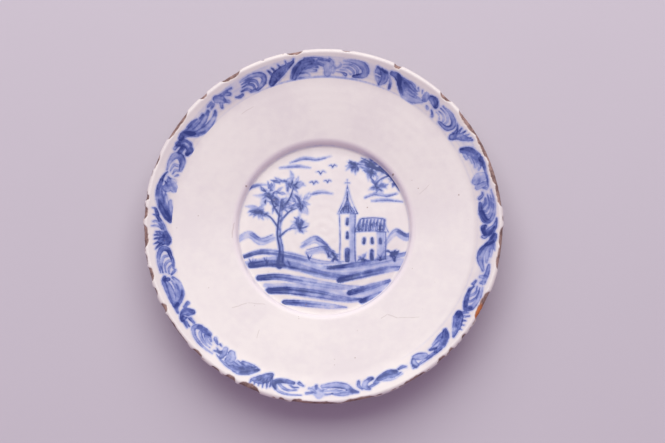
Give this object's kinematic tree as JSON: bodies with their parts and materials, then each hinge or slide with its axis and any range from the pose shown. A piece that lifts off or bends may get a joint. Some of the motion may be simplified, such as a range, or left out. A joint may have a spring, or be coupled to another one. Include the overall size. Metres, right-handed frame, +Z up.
{
  "type": "plate",
  "caption": "Round tin-glazed earthenware plate with a broad flange, a small sunken well, an upturned painted rim and a turned foot ring.",
  "frame": {"origin": "centre of the circle that the foot ring stands on", "axes": "+Z up along the plate's axis, out of its face; +Y towards the top of the painted picture; +X to its right"},
  "size_m": [0.2398, 0.2393, 0.0334],
  "materials": {
    "biscuit_clay": "matt, bare fired clay",
    "tin_glaze": "glossy, slightly uneven opaque white glaze painted in cobalt blue"
  },
  "bodies": {
    "root": {"clay_body": "biscuit_clay", "glaze_coat": "tin_glaze", "recess_glaze": "tin_glaze"}
  },
  "joints": []
}
